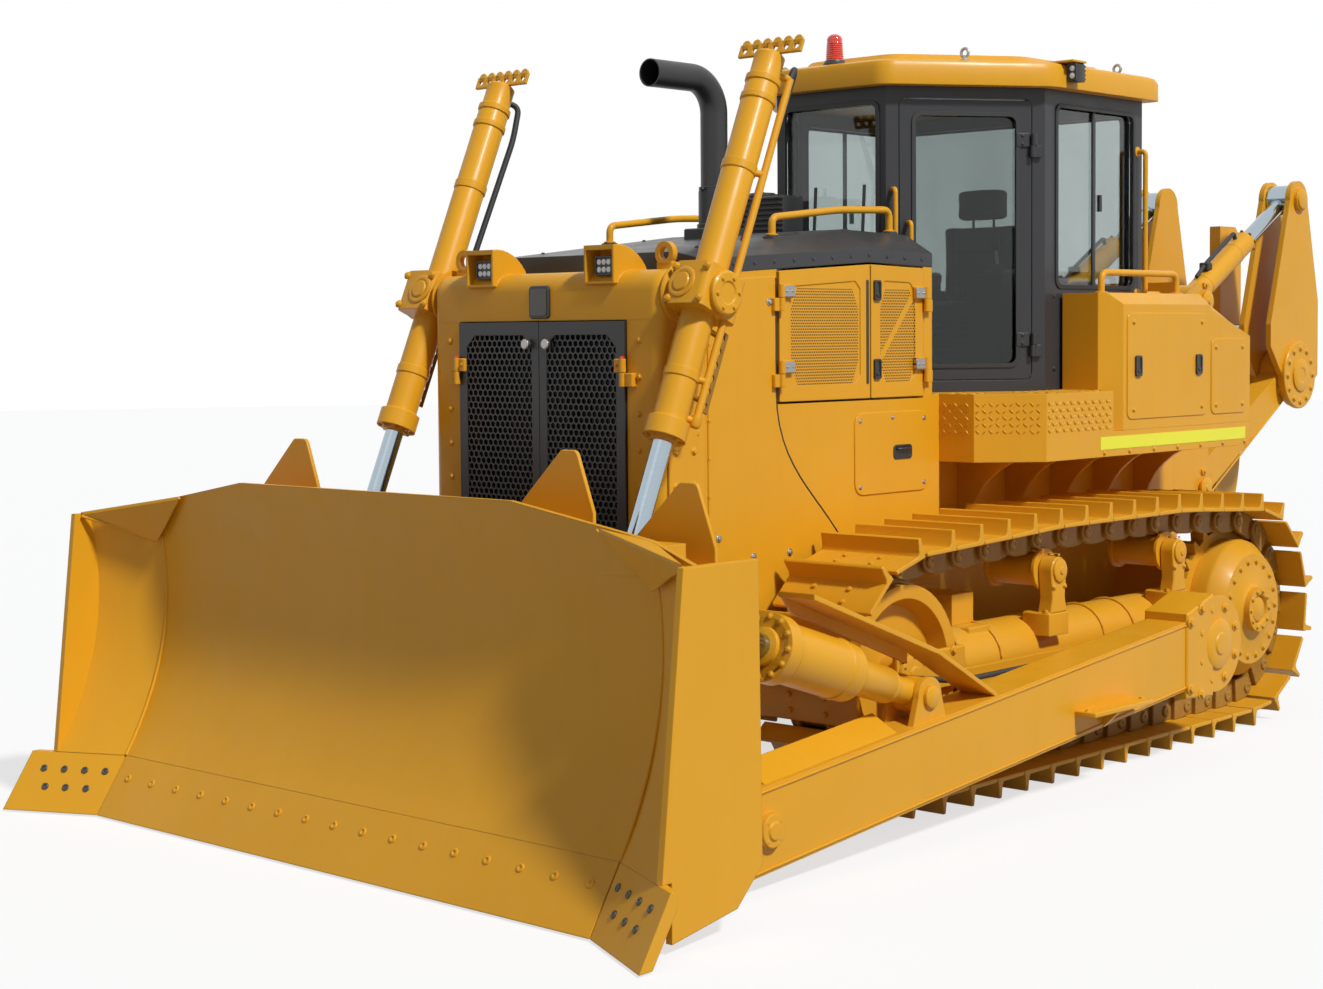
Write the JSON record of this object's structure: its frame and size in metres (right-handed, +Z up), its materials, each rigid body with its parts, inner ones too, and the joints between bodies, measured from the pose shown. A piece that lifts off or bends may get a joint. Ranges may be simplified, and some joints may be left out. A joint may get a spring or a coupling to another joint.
{
  "type": "track-type bulldozer",
  "caption": "Crawler bulldozer with semi-U blade on push arms, hydraulic lift cylinders, hexagonal cab, grouser tracks and a rear parallelogram ripper",
  "frame": {"origin": "centre of the overall box at ground level", "axes": "+X to the machine's left, +Y to the rear (the blade is at -Y), +Z up"},
  "size_m": [4.1032, 8.0999, 3.78],
  "materials": {
    "yellow_paint": "semi-gloss paint",
    "grey_paint": "matt dark grey paint",
    "black_paint": "matt black paint",
    "chrome_rod": "polished",
    "track_steel": "dark worn steel",
    "wear_steel": "painted wear steel",
    "glass": "clear safety glass",
    "seat_cover": "woven cloth",
    "lamp": "clear lens"
  },
  "bodies": {
    "tractor": {"cab_frame": "grey_paint", "cab_roof": "yellow_paint", "cab_windows": "glass", "carrier_rollers": "yellow_paint", "control_consoles": "grey_paint", "cross_shafts": "yellow_paint", "engine_block": "black_paint", "exhaust_stack": "black_paint", "fender_boxes": "yellow_paint", "fenders": "yellow_paint", "final_drives": "yellow_paint", "front_lamps": "lamp", "fuel_tank": "yellow_paint", "handrails": "yellow_paint", "hood": "grey_paint", "idlers": "yellow_paint", "main_frame": "grey_paint", "operator_seat": "seat_cover", "radiator_core": "black_paint", "radiator_guard": "yellow_paint", "ripper_bracket": "yellow_paint", "roof_lights": "lamp", "side_plates": "yellow_paint", "sprockets": "track_steel", "track_frames": "yellow_paint", "track_left": "track_steel", "track_right": "track_steel", "track_rollers": "yellow_paint"},
    "blade": {"blade_mouldboard": "yellow_paint", "cutting_edge": "wear_steel", "end_bits": "wear_steel", "push_arms": "yellow_paint", "tilt_cylinder": "yellow_paint", "tilt_rod": "chrome_rod", "tilt_brace": "yellow_paint"},
    "lift_barrel_left": {"lift_cylinder_left": "yellow_paint"},
    "lift_barrel_right": {"lift_cylinder_right": "yellow_paint"},
    "lift_piston_left": {"lift_rod_left": "chrome_rod"},
    "lift_piston_right": {"lift_rod_right": "chrome_rod"},
    "cab_door_left": {"cab_door_left": "grey_paint", "cab_door_glass_left": "glass"},
    "cab_door_right": {"cab_door_right": "grey_paint", "cab_door_glass_right": "glass"},
    "engine_door_front_left": {"engine_door_front_left": "yellow_paint"},
    "engine_door_front_right": {"engine_door_front_right": "yellow_paint"},
    "engine_door_rear_left": {"engine_door_rear_left": "yellow_paint"},
    "engine_door_rear_right": {"engine_door_rear_right": "yellow_paint"},
    "grille_door_left": {"grille_door_left": "black_paint"},
    "grille_door_right": {"grille_door_right": "black_paint"},
    "ripper_arms": {"ripper_arms": "yellow_paint"},
    "ripper_head": {"ripper_beam": "yellow_paint", "ripper_shank": "yellow_paint"},
    "ripper_links": {"ripper_tilt_cylinders": "yellow_paint", "ripper_tilt_rods": "chrome_rod"},
    "ripper_barrels": {"ripper_lift_cylinders": "yellow_paint"},
    "ripper_pistons": {"ripper_lift_rods": "chrome_rod"}
  },
  "joints": [
    {"name": "blade_lift", "type": "hinge", "parent": "tractor", "child": "blade", "pos_m": [0, 0.75, 0.6], "axis": [1, 0, 0], "range_deg": [-14, 6.5]},
    {"name": "lift_swing_left", "type": "hinge", "parent": "tractor", "child": "lift_barrel_left", "pos_m": [0.87, -2.35, 2.39], "axis": [1, 0, 0], "range_deg": [-12.7, 6.16]},
    {"name": "lift_stroke_left", "type": "slide", "parent": "lift_barrel_left", "child": "lift_piston_left", "axis": [0, -0.3945, -0.9189], "range_m": [-0.8748, 0.4088]},
    {"name": "lift_swing_right", "type": "hinge", "parent": "tractor", "child": "lift_barrel_right", "pos_m": [-0.87, -2.35, 2.39], "axis": [1, 0, 0], "range_deg": [-12.7, 6.16]},
    {"name": "lift_stroke_right", "type": "slide", "parent": "lift_barrel_right", "child": "lift_piston_right", "axis": [0, -0.3945, -0.9189], "range_m": [-0.8748, 0.4088]},
    {"name": "ripper_lift", "type": "hinge", "parent": "tractor", "child": "ripper_arms", "pos_m": [0, 2.54, 1.26], "axis": [-1, 0, 0], "range_deg": [-3, 60]},
    {"name": "ripper_head_pivot", "type": "hinge", "parent": "ripper_arms", "child": "ripper_head", "pos_m": [0, 3.76, 1.92], "axis": [-1, 0, 0], "range_deg": [-60.5, 3.5]},
    {"name": "ripper_link_swing", "type": "hinge", "parent": "tractor", "child": "ripper_links", "pos_m": [0, 2.55, 2.39], "axis": [-1, 0, 0], "range_deg": [-3.5, 60.5]},
    {"name": "ripper_cylinder_swing", "type": "hinge", "parent": "tractor", "child": "ripper_barrels", "pos_m": [0, 2.47, 1.79], "axis": [-1, 0, 0], "range_deg": [-3.97, 69.96]},
    {"name": "ripper_cylinder_stroke", "type": "slide", "parent": "ripper_barrels", "child": "ripper_pistons", "axis": [0, 0.9304, 0.3665], "range_m": [-0.019, 0.3044]},
    {"name": "cab_door_left_hinge", "type": "hinge", "parent": "tractor", "child": "cab_door_left", "pos_m": [0.83269, 0.27995, 2.69], "axis": [0, 0, 1], "range_deg": [0, 110]},
    {"name": "engine_door_front_left_hinge", "type": "hinge", "parent": "tractor", "child": "engine_door_front_left", "pos_m": [0.748, -1.674, 2.22], "axis": [0, 0, -1], "range_deg": [0, 110]},
    {"name": "engine_door_rear_left_hinge", "type": "hinge", "parent": "tractor", "child": "engine_door_rear_left", "pos_m": [0.748, -0.541, 2.22], "axis": [0, 0, 1], "range_deg": [0, 110]},
    {"name": "grille_door_left_hinge", "type": "hinge", "parent": "tractor", "child": "grille_door_left", "pos_m": [0.538, -2.518, 1.64], "axis": [0, 0, 1], "range_deg": [0, 100]},
    {"name": "cab_door_right_hinge", "type": "hinge", "parent": "tractor", "child": "cab_door_right", "pos_m": [-0.83269, 0.27995, 2.69], "axis": [0, 0, -1], "range_deg": [0, 110]},
    {"name": "engine_door_front_right_hinge", "type": "hinge", "parent": "tractor", "child": "engine_door_front_right", "pos_m": [-0.748, -1.674, 2.22], "axis": [0, 0, 1], "range_deg": [0, 110]},
    {"name": "engine_door_rear_right_hinge", "type": "hinge", "parent": "tractor", "child": "engine_door_rear_right", "pos_m": [-0.748, -0.541, 2.22], "axis": [0, 0, -1], "range_deg": [0, 110]},
    {"name": "grille_door_right_hinge", "type": "hinge", "parent": "tractor", "child": "grille_door_right", "pos_m": [-0.538, -2.518, 1.64], "axis": [0, 0, -1], "range_deg": [0, 100]}
  ],
  "couplings": [
    {"joint": "lift_swing_left", "follows": "blade_lift", "ratio": 0.87146},
    {"joint": "lift_stroke_left", "follows": "blade_lift", "m_per_rad": 3.5597},
    {"joint": "lift_swing_right", "follows": "blade_lift", "ratio": 0.87146},
    {"joint": "lift_stroke_right", "follows": "blade_lift", "m_per_rad": 3.5597},
    {"joint": "ripper_head_pivot", "follows": "ripper_lift", "ratio": -1},
    {"joint": "ripper_link_swing", "follows": "ripper_lift", "ratio": 1},
    {"joint": "ripper_cylinder_swing", "follows": "ripper_lift", "ratio": 1.1577},
    {"joint": "ripper_cylinder_stroke", "follows": "ripper_lift", "m_per_rad": 0.28687}
  ]
}
